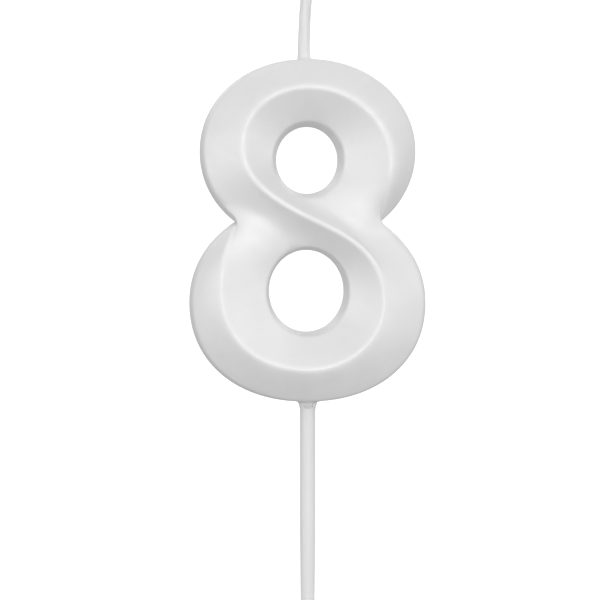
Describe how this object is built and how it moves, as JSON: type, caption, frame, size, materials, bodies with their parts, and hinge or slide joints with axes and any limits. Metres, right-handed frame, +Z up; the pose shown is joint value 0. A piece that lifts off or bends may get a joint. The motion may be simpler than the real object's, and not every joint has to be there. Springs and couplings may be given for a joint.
{
  "type": "number birthday candle",
  "caption": "Figure-eight birthday candle with a faceted S-shaped ridge, two open eyes, a waxed wick at the crown and a push-in pick.",
  "frame": {"origin": "on the pick's axis, at the top of its straight shank, where the icing comes to", "axes": "+Z up along the pick to the crown, +X to the reader's right, front face towards -Y"},
  "size_m": [0.0484, 0.015, 0.1355],
  "materials": {
    "pearl_wax": "wax under a satin pearl-white lacquer",
    "wick_cotton": "bleached cotton braid",
    "wick_wax": "thin dipped wax, slightly uneven",
    "pick_plastic": "moulded white plastic, slightly translucent"
  },
  "bodies": {
    "pick": {"pick": "pick_plastic"},
    "numeral": {"numeral": "pearl_wax", "wick_root": "wick_cotton"},
    "wick": {"wick_braid": "wick_cotton", "wick_wax": "wick_wax"}
  },
  "joints": [
    {"name": "figure_pull_off", "type": "slide", "parent": "pick", "child": "numeral", "axis": [0, 0, 1], "range_m": [0, 0.014]},
    {"name": "wick_bend", "type": "hinge", "parent": "numeral", "child": "wick", "pos_m": [-0.0008, 0, 0.0726], "axis": [0, 1, 0], "range_deg": [-45, 45]}
  ]
}
